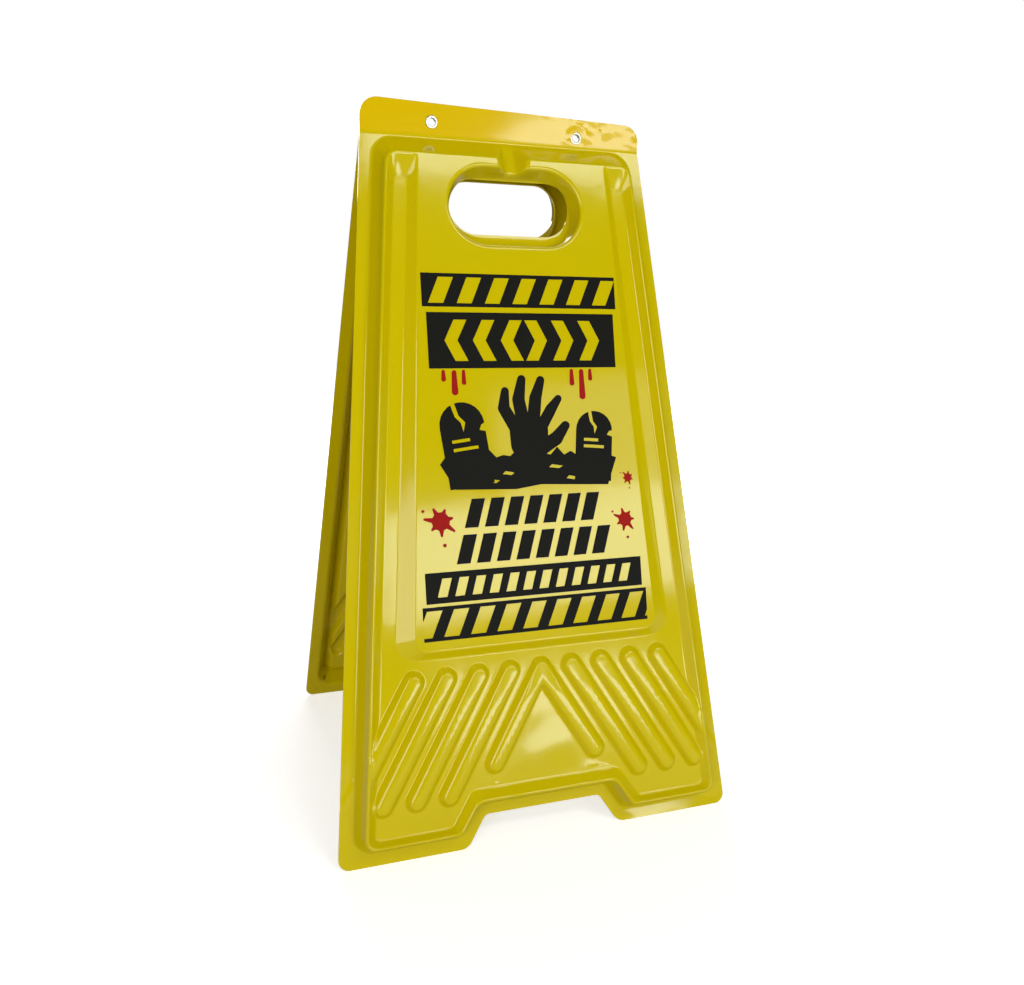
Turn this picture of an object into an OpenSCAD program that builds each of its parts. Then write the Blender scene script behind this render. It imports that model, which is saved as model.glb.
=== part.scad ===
// Folding floor sign: two vacuum-formed leaves, back to back, joined by two
// hollow rivets through their flat top bands. Each leaf leans out below a crease.
// The floor is z = 0, +X runs across the width and the front leaf faces -Y.
// A point of a leaf is given as u (across), v (down from the crease) and w
// (out from the outer face of the flat flange). All sizes are in millimetres.

/* [Stand] */
// Height of the open sign
stand_h = 603; // [565:1:680]
// Lean of each leaf from upright when the sign stands open, in degrees
lean = 15; // [11:0.5:18]
// Width of a leaf across its feet
foot_w = 350; // [340:1:380]
// Width of a leaf at the crease
crease_w = 250; // [246:1:270]

/* [Sheet] */
// Thickness of the formed sheet
sheet_t = 1.5; // [1.2:0.1:2]
// Gap in the fold between a leaf and its top band
crease_gap = 0.05; // [0.03:0.01:0.1]

/* [Top band] */
// Height of the flat band above the crease at its left end
band_left_h = 28; // [24:0.5:40]
// Height of the flat band above the crease at its right end, where less was left on
band_right_h = 21.5; // [20:0.5:40]
// Radius of the upper corners of the band
band_r = 15; // [6:1:18]

/* [Flange and tub] */
// Height of the rim above the flat flange
rim_h = 19; // [17:0.5:22]
// Width of the flat flange down the sides and under the feet
flange_w = 11; // [8:0.5:13]
// Width of the flat flange round the notch
notch_flange_w = 9; // [7:0.5:11]
// Flat strip between the crease and the foot of the upper wall
crease_flange_w = 2.5; // [2:0.5:4]
// Draft of the outer wall in plan
wall_run = 8; // [5:0.5:10]
// Draft of the upper wall in plan
top_wall_run = 19; // [14:0.5:20]

/* [Feet] */
// Height of the notch between the feet
notch_h = 26; // [20:1:30]
// Width of the notch at its top
notch_top_w = 103; // [90:1:115]
// Width of the notch at the floor
notch_foot_w = 136; // [125:1:145]

/* [Recess] */
// Depth of the recessed field and side channels below the rim
recess_d = 6.5; // [5:0.5:8]
// Width of the flat land on top of the rim
rim_land = 1.5; // [1:0.25:2]
// Draft of the recess along the sides
recess_side_run = 6.5; // [5:0.5:8]
// Draft of the recess above the feet
recess_foot_run = 3.5; // [3:0.5:5]
// Draft of the recess above the notch
recess_notch_run = 7.5; // [6:0.5:9]
// Distance from the crease to the upper end of the side channels
channel_top = 23; // [22:0.5:30]
// Length of the ramp from there to the floor of the channels
channel_ramp = 17; // [10:0.5:20]
// Width of the side channels at their upper end
channel_top_w = 24.4; // [22:0.1:28]
// Width of the side channels beside the panel's lower edge
channel_foot_w = 33.2; // [30:0.1:38]
// Outer corner radius of the upper ends of the channels, as a share of their width
channel_round = 0.36; // [0.2:0.01:0.45]
// Corner radius of those ends beside the panel, as a share of the same width
channel_panel_round = 0.12; // [0.05:0.01:0.2]

/* [Panel] */
// Distance from the lower edge of the print panel to the upper ends of the ribs
panel_gap = 14; // [11:0.5:20]
// Draft of the panel's lower edge
panel_drop = 6.5; // [4:0.5:8]
// Draft of the panel sides at the top
panel_run_top = 7; // [5:0.5:8]
// Draft of the panel sides at the bottom
panel_run_foot = 14.5; // [10:0.5:15]

/* [Ribs] */
// Distance from the feet to the lower ends of the ribs
rib_foot_gap = 41.4; // [40:0.5:60]
// Length of the ribs, measured straight down the leaf
rib_l = 113.5; // [90:0.5:114]
// Length of the middle chevron, measured straight down the leaf
chevron_l = 92.5; // [70:0.5:94]
// Distance between the upper ends of neighbouring ribs
rib_pitch = 27.2; // [26.5:0.1:28]
// Slope of the ribs from the upright
rib_slope = 31; // [28:0.5:32]
// Width of a rib at its foot
rib_w = 18.6; // [16:0.2:19.4]
// Width of the flat top of a rib
rib_crown_w = 10.6; // [8:0.2:12]
// Height of a rib above the recessed field
rib_h = 5.5; // [3.5:0.5:6]

/* [Handle] */
// Length of the handle well at the rim
well_l = 116.8; // [110:0.2:120]
// Height of the handle well at the rim
well_h = 66; // [60:1:68]
// Distance from the crease to the middle of the well
well_v = 62.5; // [61:0.5:68]
// Draft of the well
well_run = 3.5; // [3:0.5:5]
// Length of the hand hole
hole_l = 107; // [95:1:107.6]
// Height of the hand hole
hole_h = 46.8; // [40:0.2:48]
// Ledge left above the hand hole
hole_ledge = 1.2; // [1:0.1:3]
// Width of the floor of the groove that runs from the crease to the well
groove_w = 9; // [6:0.5:12]
// How far each side of the groove spreads for each millimetre up
groove_flare = 0.7; // [0.5:0.05:1.1]
// Rise of the groove's floor from the crease to the well
groove_rise = 10; // [8:0.5:12]

/* [Rivets] */
// Distance between the two rivets
rivet_pitch = 130; // [110:1:150]
// Height of the left rivet above the crease
rivet_left_up = 11.7; // [8:0.1:15]
// Height of the right rivet above the crease
rivet_right_up = 8; // [7:0.1:15]
// Bore of the hollow rivets
rivet_bore_d = 6.4; // [5:0.1:6.6]
// Wall of the rivet's barrel
rivet_wall = 0.5; // [0.4:0.05:0.6]
// Diameter of the rivet's rolled ends
rivet_head_d = 10.4; // [9.6:0.1:11]
// Height of the rivet's rolled ends
rivet_head_h = 0.9; // [0.7:0.1:1.2]
// Clearance of the rivet's barrel in the sheets
rivet_clear = 0.05; // [0.02:0.01:0.1]

/* [Print] */
// Thickness of the printed ink film
ink_t = 0.2; // [0.15:0.05:0.3]
// Distance from the crease to the upper striped bar
upper_bar_v = 120; // [118:1:122]
// Width of the upper striped bar
upper_bar_w = 171; // [150:1:172]
// Distance from the lower striped bar to the panel's lower edge
lower_bar_gap = 8.5; // [5:0.5:12]
// Width of the lower striped bar
lower_bar_w = 198; // [180:1:200]
// Height of the striped bars
bar_h = 27.5; // [24:0.5:28]
// Distance between neighbouring stripes of the upper bar
upper_pitch = 24; // [20:0.5:26]
// Distance between neighbouring stripes of the lower bar
lower_pitch = 22.4; // [20:0.5:26]
// Distance from the upper bar's left end to its first stripe
upper_first = 5; // [0:0.5:12]
// Distance from the lower bar's left end to its first stripe, which starts beyond that end
lower_first = -6; // [-12:0.5:0]
// Width of the unprinted stripes
stripe_w = 12.8; // [9:0.2:14]
// Slant of the stripes, sideways for each millimetre up
stripe_slant = 0.44; // [0.3:0.02:0.6]
// Black line above and below the stripes
bar_line = 3; // [2:0.25:4]
// Gap between the upper bar and the box below it
upper_box_gap = 4.5; // [3:0.5:6]
// Width of the upper box
upper_box_w = 165; // [150:1:168]
// Height of the upper box
upper_box_h = 46; // [40:1:47]
// Gap between the lower bar and the box above it
lower_box_gap = 2.5; // [2:0.5:4]
// Width of the lower box
lower_box_w = 191; // [170:1:194]
// Height of the lower box
lower_box_h = 25; // [20:1:26]
// Height of the arrowheads in the upper box
arrow_h = 34; // [28:1:36]
// Thickness of an arrowhead's arms, measured across the sign
arrow_arm = 11; // [7:0.5:12]
// Distance between neighbouring arrowheads
arrow_pitch = 24; // [20:0.5:25]
// Height of the dashes in the lower box
dash_h = 15; // [10:0.5:17]
// Width of the dashes in the lower box
dash_w = 8; // [5:0.5:9]
// Distance between neighbouring dashes
dash_pitch = 14.5; // [12:0.5:15]
// Least black left at each end of the row of dashes
dash_margin = 6; // [5:0.5:12]
// Height of the two rows of black blocks under the picture
block_h = 23.5; // [20:0.5:24]
// Width of a black block
block_w = 11.5; // [9:0.5:13]
// Distance between neighbouring blocks
block_pitch = 17; // [15:0.5:18]
// Number of blocks in the upper row
upper_block_n = 7; // [5:1:8]
// Number of blocks in the lower row
lower_block_n = 8; // [6:1:9]
// Distance from the lower box up to the lower row of blocks
block_gap = 5.5; // [4:0.5:8]
// Distance between the two rows of blocks
row_gap = 5.5; // [4:0.5:7]
// Width of the printed mound
mound_w = 156; // [140:1:160]
// Height of the printed mound
mound_h = 26; // [20:1:30]
// Distance from the mound down to the upper row of blocks
mound_gap = 6; // [4:0.5:9]
// Gap between the raised hand and the upper box
hand_gap = 6; // [4:0.5:15]
// Gap at each side between the hand and the headstones
hand_side_gap = 3.6; // [3:0.2:8]
// How far the hand's wrist is sunk into the mound
hand_sink = 6; // [2:0.5:9]
// Distance of each headstone from the middle
stone_u = 54; // [50:1:58]
// Height of the left headstone, as a share of the height between the mound and the upper box
stone_share = 0.66; // [0.5:0.02:0.72]
// Width of a headstone
stone_w = 38; // [30:1:40]

/* [Hidden] */
yellow = [0.86, 0.76, 0.02];
ink_black = [0.05, 0.05, 0.06];
ink_red = [0.62, 0.02, 0.04];
nickel = [0.75, 0.74, 0.7];

// The crease is an axis in the middle of the sheet, at this height
crease_z = stand_h - band_left_h;
// Length of a leaf from the crease to the floor, along its outer face
leaf_l = (crease_z + sheet_t / 2 * sin(lean)) / cos(lean);
// A leaf starts just clear of the round lower edge of its band
leaf_v0 = sheet_t / 2 + crease_gap;
field_w = rim_h - recess_d;
// Where the ribs and the panel end, as distances from the crease
rib_bottom = leaf_l - rib_foot_gap;
rib_top = rib_bottom - rib_l;
chevron_bottom = rib_top + chevron_l;
panel_bottom = rib_top - panel_gap;
rivet_places = [[-rivet_pitch / 2, crease_z + rivet_left_up], [rivet_pitch / 2, crease_z + rivet_right_up]];
corner_n = 6;
extra = 1;
far = 1000;

// Half the width of the leaf at a distance v from the crease
function half_width(v) = (crease_w + (foot_w - crease_w) * v / leaf_l) / 2;
// How far down the panel v is, from 0 at the channels' upper end to 1 at the lower edge
function panel_share(v) = (v - channel_top) / (panel_bottom - channel_top);
// Half the distance between two lines that run down a leaf, this far in from its sides
function half_between(v, gap) = half_width(v) - gap / cos(atan2((foot_w - crease_w) / 2, leaf_l));
// Half the width of the print panel at a distance v from the crease
function panel_half(v) = half_between(v, flange_w + wall_run + rim_land)
    - channel_top_w - (channel_foot_w - channel_top_w) * panel_share(v);
// Draft of the panel side at a distance v from the crease
function panel_run(v) = panel_run_top + (panel_run_foot - panel_run_top) * panel_share(v);
// A plan point from u and v
function pt(u, v) = [u, -v];
// How far a bend moves in plan between the two faces of the sheet
function bend_shift(run, rise) = sheet_t * tan(atan2(rise, run) / 2);

function unit(a) = a / norm(a);
// The normal to the inside of a clockwise outline
function inward(a, b) = let (d = unit(b - a)) [d[1], -d[0]];
// Every edge of a clockwise outline moved inwards by its own gap
function inset(path, gaps) = let (n = len(path)) [for (i = [0:n - 1])
    let (a = path[(i + n - 1) % n], b = path[i], c = path[(i + 1) % n],
         p = b + gaps[(i + n - 1) % n] * inward(a, b), q = b + gaps[i] * inward(b, c),
         d = unit(b - a), e = unit(c - b))
    p + d * cross(q - p, e) / cross(d, e)];
// An outline with each corner rounded to its own radius
function rounded(path, radii, steps = corner_n) = let (n = len(path)) [for (i = [0:n - 1])
    let (b = path[i], to_a = unit(path[(i + n - 1) % n] - b), to_c = unit(path[(i + 1) % n] - b),
         half = acos(to_a * to_c) / 2, r = radii[i],
         mid = b + unit(to_a + to_c) * r / sin(half),
         first = b + to_a * r / tan(half) - mid, last = b + to_c * r / tan(half) - mid,
         start = atan2(first[1], first[0]),
         turn = atan2(cross(first, last), first * last))
    for (k = [0:steps]) mid + r * [cos(start + turn * k / steps), sin(start + turn * k / steps)]];
// Radii for a parallel outline: outer corners shrink and inner corners grow
function grown(radii, signs, gap) = [for (i = [0:len(radii) - 1]) max(1.5, radii[i] - signs[i] * gap)];
function raise(path, w) = [for (p = path) [p[0], p[1], w]];
// Two rings drawn out in a straight line past both ends, so that no edge lies in a face
function drawn_out(low, high, w_low, w_high) = let (k = extra / (w_high - w_low))
    [raise(low + (low - high) * k, w_low - extra), raise(high + (high - low) * k, w_high + extra)];

// The plan of a ring, without its height
function plan(ring) = [for (p = ring) [p[0], p[1]]];
// Is p within the clockwise triangle a, b, c?
function covers(a, b, c, p) = p != a && p != b && p != c && cross(b - a, p - a) < 1e-9
    && cross(c - b, p - b) < 1e-9 && cross(a - c, p - c) < 1e-9;
// The next corner of a clockwise outline that can be cut off as a triangle
function ear(path, left, k) = let (n = len(left),
        a = path[left[(k + n - 1) % n]], b = path[left[k]], c = path[left[(k + 1) % n]])
    (cross(b - a, c - b) < -1e-9 && len([for (j = left) if (covers(a, b, c, path[j])) j]) == 0)
        ? k : ear(path, left, k + 1);
// Triangles that fill a clockwise outline, cut off one corner at a time
function filled(path, left) = let (n = len(left)) n == 3 ? [left] : let (k = ear(path, left, 0))
    concat([[left[(k + n - 1) % n], left[k], left[(k + 1) % n]]],
           filled(path, [for (j = [0:n - 1]) if (j != k) left[j]]));

// A solid through rings that have the same number of points
module loft(rings) {
    n = len(rings[0]);
    last = len(rings) - 1;
    all = [for (i = [0:n - 1]) i];
    sides = [for (j = [0:last - 1], i = [0:n - 1]) let (a = j * n + i, b = j * n + (i + 1) % n)
        each [[a, b, b + n], [a, b + n, a + n]]];
    floor_cap = [for (t = filled(plan(rings[0]), all)) [t[2], t[1], t[0]]];
    top_cap = [for (t = filled(plan(rings[last]), all)) [t[0], t[1], t[2]] + last * n * [1, 1, 1]];
    polyhedron(points = [for (r = rings) each r], faces = concat(sides, floor_cap, top_cap));
}

// Sharp corners of the leaf's outline, clockwise from the crease's right end
outline = [pt(crease_w / 2, 0), pt(foot_w / 2, leaf_l), pt(notch_foot_w / 2, leaf_l),
           pt(notch_top_w / 2, leaf_l - notch_h), pt(-notch_top_w / 2, leaf_l - notch_h),
           pt(-notch_foot_w / 2, leaf_l), pt(-foot_w / 2, leaf_l), pt(-crease_w / 2, 0)];
outline_turn = [1, 1, 1, -1, -1, 1, 1, 1];
// Gaps, one for each edge, from the outline to the foot and the top of the outer wall
foot_gaps = [flange_w, flange_w, notch_flange_w, notch_flange_w,
             notch_flange_w, flange_w, flange_w, crease_flange_w];
wall_runs = [for (i = [0:7]) i == 7 ? top_wall_run : wall_run];
wall_radii = [18, 16, 14, 4, 4, 14, 16, 18];

// The sheet's trimmed edge, with its crease end cut square
module sheet_blank() {
    difference() {
        translate([0, 0, -sheet_t])
            linear_extrude(sheet_t)
                polygon(rounded(outline, [0.1, 9, 11, 7, 7, 11, 9, 0.1]));
        translate([-far / 2, -leaf_v0, -far / 2]) cube(far);
    }
}

// The raised tub; side 0 is its outer face and side 1 its inner face
module tub(side) {
    shift = [for (r = wall_runs) side * bend_shift(r, rim_h)];
    low = foot_gaps + shift;
    high = foot_gaps + wall_runs + shift;
    w0 = -side * sheet_t;
    low_ring = rounded(inset(outline, low), wall_radii);
    high_ring = rounded(inset(outline, high), grown(wall_radii, outline_turn, wall_run));
    rings = drawn_out(low_ring, high_ring, w0, rim_h + w0);
    loft([rings[0], raise(high_ring, rim_h + w0)]);
}

// One ring of the recess that runs down both sides of the panel and over the feet
function recess_ring(side_gap, foot_gap, notch_gap, top, panel_in, bottom, grow) =
    let (frame = inset(outline, [side_gap, foot_gap, notch_gap, notch_gap,
                                 notch_gap, foot_gap, side_gap, 0]),
         outer = half_between(top, side_gap),
         inner_top = panel_half(top) + panel_in * panel_run(top) - grow,
         inner_low = panel_half(bottom) + panel_in * panel_run(bottom) - grow)
    [pt(-outer, top), pt(-inner_top, top), pt(-inner_low, bottom), pt(inner_low, bottom),
     pt(inner_top, top), pt(outer, top), frame[1], frame[2], frame[3], frame[4], frame[5], frame[6]];
recess_turn = [1, 1, -1, -1, 1, 1, 1, 1, -1, -1, 1, 1];
recess_r = [0, 0, 12, 12, 0, 0, 8, 9, 8, 8, 9, 8];
// Corner radii of a recess ring, where those of the channels' ends follow their width
function recess_radii(ring, gap) = let (r = grown(recess_r, recess_turn, gap),
        end_w = ring[5][0] - ring[4][0],
        outer = channel_round * end_w, inner = channel_panel_round * end_w)
    [outer, inner, r[2], r[3], inner, outer, for (i = [6:11]) r[i]];

module recess(side) {
    grow = side * bend_shift(recess_side_run, recess_d);
    wall = flange_w + wall_run + rim_land - grow;
    notch_wall = notch_flange_w + wall_run + rim_land - grow;
    top_path = recess_ring(wall, wall, notch_wall, channel_top - grow, 0, panel_bottom - grow, grow);
    floor_path = recess_ring(wall + recess_side_run, wall + recess_foot_run, notch_wall + recess_notch_run,
                             channel_top + channel_ramp - grow, 1, panel_bottom + panel_drop - grow, grow);
    top_ring = rounded(top_path, recess_radii(top_path, 0));
    floor_ring = rounded(floor_path, recess_radii(floor_path, 4));
    w0 = -side * sheet_t;
    rings = drawn_out(floor_ring, top_ring, field_w + w0, rim_h + w0);
    loft([raise(floor_ring, field_w + w0), rings[1]]);
}

// A slot with round ends between two points, clockwise
function slot(p, q, r, steps = 9) = let (d = unit(q - p), turn = atan2(d[1], d[0]))
    concat([for (k = [0:steps]) q + r * [cos(turn + 90 - 180 * k / steps), sin(turn + 90 - 180 * k / steps)]],
           [for (k = [0:steps]) p + r * [cos(turn - 90 - 180 * k / steps), sin(turn - 90 - 180 * k / steps)]]);

// The upper and lower centres of the straight ribs on the right, from the middle out
rib_r = rib_w / 2;
rib_ends = [for (i = [1:4]) [pt(i * rib_pitch, rib_top + rib_r),
    pt(i * rib_pitch + (rib_bottom - rib_top - rib_w) * tan(rib_slope), rib_bottom - rib_r)]];

// One ring of the chevron: a bent slot from foot to foot over its apex
function chevron_ring(r) = let (apex = pt(0, rib_top + rib_r), reach = chevron_bottom - rib_top - rib_w,
        foot = pt(reach * tan(rib_slope), chevron_bottom - rib_r),
        left_foot = [-foot[0], foot[1]], steps = 8, bend = rib_slope,
        armpit = apex - [0, r / sin(rib_slope)])
    concat([for (k = [0:steps]) apex + r * [cos(180 - bend - (180 - 2 * bend) * k / steps),
                                            sin(180 - bend - (180 - 2 * bend) * k / steps)]],
           [for (k = [0:steps]) foot + r * [cos(bend - 180 * k / steps), sin(bend - 180 * k / steps)]],
           [armpit],
           [for (k = [0:steps]) left_foot + r * [cos(-bend - 180 * k / steps), sin(-bend - 180 * k / steps)]]);

module ribs(side) {
    shrink = side * bend_shift((rib_w - rib_crown_w) / 2, rib_h);
    w0 = -side * sheet_t;
    foot_r = rib_r - shrink;
    crown_r = rib_crown_w / 2 - shrink;
    below = 0.5;
    foot_out = foot_r + (foot_r - crown_r) * below / rib_h;
    levels = [[foot_out, field_w + w0 - below], [crown_r, field_w + rib_h + w0]];
    for (end = rib_ends, flip = [-1, 1])
        let (p = [flip * end[0][0], end[0][1]], q = [flip * end[1][0], end[1][1]])
            loft([for (l = levels) raise(slot(p, q, l[0]), l[1])]);
    loft([for (l = levels) raise(chevron_ring(l[0]), l[1])]);
}

// The well of the handle, and the groove that leads to it from the crease
module well(side) {
    grow = side * bend_shift(well_run, rim_h);
    w0 = -side * sheet_t;
    reach = (well_l - well_h) / 2;
    mouth = slot(pt(-reach, well_v), pt(reach, well_v), well_h / 2 + grow, 12);
    base = slot(pt(-reach, well_v), pt(reach, well_v), well_h / 2 - well_run + grow, 12);
    loft(drawn_out(base, mouth, w0 - extra, rim_h + w0));
    groove_len = well_v - well_h / 2 + well_run;
    climb = atan2(groove_rise, groove_len);
    half = groove_w / 2 + side * bend_shift(groove_flare, 1);
    low = -side * sheet_t;
    spread = groove_flare * rim_h;
    rotate([90 - climb, 0, 0])
        translate([0, 0, -extra])
            linear_extrude(groove_len / cos(climb) + 2 * extra)
                polygon([[-half, low], [-half - spread, low + rim_h], [half + spread, low + rim_h], [half, low]]);
}

module leaf_form(side) {
    difference() {
        tub(side);
        difference() {
            recess(side);
            ribs(side);
        }
        well(side);
    }
}

// One leaf, lying flat: its outer face less its inner face, and the hand hole
module formed_leaf() {
    hole_v = well_v - well_h / 2 + well_run + hole_ledge + hole_h / 2;
    reach = (hole_l - hole_h) / 2;
    difference() {
        union() {
            sheet_blank();
            leaf_form(0);
        }
        leaf_form(1);
        translate([0, 0, -far / 2])
            linear_extrude(far)
                polygon(slot(pt(-reach, hole_v), pt(reach, hole_v), hole_h / 2, 12));
    }
}

// Puts what lies flat on a leaf where the open sign has it
module stand_leaf() {
    translate([0, -sheet_t / 2, crease_z])
        rotate([90 - lean, 0, 0])
            translate([0, 0, sheet_t / 2])
                children();
}

module trimmed_leaf() {
    difference() {
        stand_leaf() formed_leaf();
        translate([-far / 2, -far / 2, -far]) cube(far);
    }
}

// The flat band above the crease, with a round lower edge that the leaf folds about
module top_band() {
    half = crease_w / 2;
    difference() {
        union() {
            translate([0, 0, crease_z])
                rotate([90, 0, 0])
                    linear_extrude(sheet_t)
                        polygon(rounded([[-half, 0], [-half, band_left_h], [half, band_right_h], [half, 0]],
                                        [0.1, band_r, band_r, 0.1]));
            translate([-half, -sheet_t / 2, crease_z])
                rotate([0, 90, 0]) cylinder(r = sheet_t / 2, h = crease_w, $fn = 24);
        }
        for (at = rivet_places)
            translate([at[0], sheet_t, at[1]])
                rotate([90, 0, 0])
                    cylinder(r = rivet_bore_d / 2 + rivet_wall + rivet_clear, h = 3 * sheet_t, $fn = 48);
    }
}

// A hollow rivet, rolled over at both ends
module rivet() {
    bore = rivet_bore_d / 2;
    barrel = bore + rivet_wall;
    roll = rivet_head_h / 2;
    rotate([90, 0, 0])
        rotate_extrude($fn = 64)
            union() {
                translate([bore, -sheet_t - roll]) square([rivet_wall, 2 * sheet_t + 2 * roll]);
                for (s = [-1, 1]) {
                    translate([bore + roll, s * (sheet_t + roll) - roll])
                        square([rivet_head_d / 2 - bore - 2 * roll, rivet_head_h]);
                    for (x = [bore + roll, rivet_head_d / 2 - roll])
                        translate([x, s * (sheet_t + roll)]) circle(r = roll, $fn = 32);
                }
            }
}

// The print runs down from the upper bar and up from the panel's lower edge
upper_box_v = upper_bar_v + bar_h + upper_box_gap;
lower_bar_v = panel_bottom - lower_bar_gap - bar_h;
lower_box_v = lower_bar_v - lower_box_gap - lower_box_h;
row_v = lower_box_v - block_gap - block_h;
mound_v = row_v - row_gap - block_h - mound_gap;
sky_h = mound_v - mound_h - upper_box_v - upper_box_h;
dash_n = floor((lower_box_w - 2 * dash_margin) / dash_pitch);

// A black bar with leaning unprinted stripes
module striped_bar(w, v, pitch, first) {
    slant = (bar_h - 2 * bar_line) * stripe_slant;
    difference() {
        translate([-w / 2, -v - bar_h]) square([w, bar_h]);
        for (x = [first:pitch:w + slant])
            polygon([[x - w / 2, -v - bar_h + bar_line], [x - w / 2 + slant, -v - bar_line],
                     [x - w / 2 + slant + stripe_w, -v - bar_line], [x - w / 2 + stripe_w, -v - bar_h + bar_line]]);
    }
}

module box(w, v, h) {
    translate([-w / 2, -v - h]) square([w, h]);
}

// A row of arrowheads that point away from the middle
module arrowheads(v, h, arm, pitch) {
    for (side = [-1, 1], k = [0:2])
        translate([side * (k + 0.5) * pitch, -v])
            polygon([for (p = [[-arm, h / 2], [0, h / 2], [h / 4, 0], [0, -h / 2], [-arm, -h / 2], [h / 4 - arm, 0]])
                [side * p[0], p[1]]]);
}

// A row of leaning blocks
module leaning_row(count, pitch, v, w, h) {
    lean_w = h * 0.3;
    for (k = [0:count - 1])
        translate([(k - (count - 1) / 2) * pitch, -v])
            polygon([[-(w + lean_w) / 2, 0], [(w - lean_w) / 2, 0], [(w + lean_w) / 2, h], [(lean_w - w) / 2, h]]);
}

// A straight stroke with round ends, which may differ in size
module stroke(p, q, r0, r1) {
    turn = atan2(q[1] - p[1], q[0] - p[0]) + 90;
    polygon(concat([for (k = [0:12]) q + r1 * [cos(turn - 15 * k), sin(turn - 15 * k)]],
                   [for (k = [12:24]) p + r0 * [cos(turn - 15 * k), sin(turn - 15 * k)]]));
}

// A bent finger: two strokes that get thinner
joint_share = 0.93;
tip_share = 0.62;
module finger(base, joint, tip, r) {
    stroke(base, joint, r, r * joint_share);
    stroke(joint, tip, r * joint_share, r * tip_share);
}

// A raised open hand with a torn cuff, its wrist at the origin
fingers = [[[-14, 36], [-24, 54], [-22, 70], 6.2], [[-5.5, 40], [-9, 62], [-5, 81], 6.6],
           [[4.5, 40], [8, 63], [14, 80], 6.5], [[13, 36], [23, 52], [31, 62], 5.8]];
hand_w = 71;
hand_h = fingers[1][2][1] + fingers[1][3] * tip_share;
cuff = [[-17, -14], [17, -14], [19, 6], [14, 1], [11, 9], [6, 2], [1, 8], [-4, 1], [-9, 8], [-13, 2], [-19, 7]];
module hand() {
    stroke([0, -10], [0, 14], 10.5, 13);
    stroke([-4, 20], [-6, 32], 15, 13.5);
    stroke([4, 20], [6, 32], 15, 13);
    finger([10, 14], [27, 24], [37, 36], 7);
    for (f = fingers) finger(f[0], f[1], f[2], f[3]);
    polygon(cuff);
}

// A round-topped stone that leans, with a chip out of one edge and a crack
module headstone(w, h) {
    difference() {
        polygon(concat([[w / 2, -20], [-w / 2, -20]],
                       [for (k = [0:12]) [-w / 2 * cos(15 * k), h - w / 2 + w / 2 * sin(15 * k)]]));
        polygon([[w / 2 + 1, h * 0.46], [w / 2 - 5, h * 0.5], [w / 2 - 3, h * 0.58], [w / 2 + 1, h * 0.62]]);
        polygon([[-w * 0.2, h + 1], [-w * 0.1, h + 1], [-w * 0.04, h * 0.78], [w * 0.08, h * 0.66],
                 [w * 0.01, h * 0.5], [-w * 0.02, h * 0.66], [-w * 0.13, h * 0.77]]);
        for (k = [0, 1])
            translate([-w * 0.28, h * (0.2 + 0.14 * k)]) square([w * (0.56 - 0.16 * k), 2.6]);
    }
}

// The ground that they stand in, with a broken upper edge and some gaps
tooth_n = 13;
module mound() {
    step = mound_w / tooth_n / 2;
    difference() {
        polygon(concat(
            [for (k = [0:2 * tooth_n]) [-mound_w / 2 + k * step, (k % 2 == 0 ? 0 : 4 + 3 * sin(k * 67))
                + 5 * sin(180 * k / (2 * tooth_n)) - 3]],
            [[mound_w / 2 - 9, -mound_h], [8, 3 - mound_h], [-14, -mound_h], [12 - mound_w / 2, 2 - mound_h]]));
        for (c = [[-52, -9, 15], [-20, -13, 11], [22, -9, 13], [50, -12, 17], [-34, -19, 12], [36, -19, 10], [2, -15, 8]])
            translate([c[0], c[1]])
                polygon([[-c[2] / 2, 0], [-c[2] / 4, 2.4], [c[2] / 2, 0.8], [c[2] / 5, -1.2]]);
    }
}

module print_black() {
    hand_tall = (sky_h + hand_sink - hand_gap) / hand_h;
    hand_wide = (2 * stone_u - stone_w - 2 * hand_side_gap) / hand_w;
    stone_h = stone_share * sky_h;
    color(ink_black) stand_leaf() translate([0, 0, rim_h]) linear_extrude(ink_t) {
        striped_bar(upper_bar_w, upper_bar_v, upper_pitch, upper_first);
        striped_bar(lower_bar_w, lower_bar_v, lower_pitch, lower_first);
        difference() {
            box(upper_box_w, upper_box_v, upper_box_h);
            arrowheads(upper_box_v + upper_box_h / 2, arrow_h, arrow_arm, arrow_pitch);
        }
        difference() {
            box(lower_box_w, lower_box_v, lower_box_h);
            leaning_row(dash_n, dash_pitch, lower_box_v + (lower_box_h + dash_h) / 2, dash_w, dash_h);
        }
        leaning_row(upper_block_n, block_pitch, row_v - row_gap, block_w, block_h);
        leaning_row(lower_block_n, block_pitch, row_v + block_h, block_w, block_h);
        translate([0, mound_h - mound_v]) {
            mound();
            translate([0, -hand_sink]) scale([hand_wide, hand_tall]) hand();
            translate([-stone_u, -2]) rotate(7) headstone(stone_w, stone_h);
            translate([stone_u + 3, -2]) rotate(-5) headstone(stone_w * 0.88, stone_h * 0.8);
        }
    }
}

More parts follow.
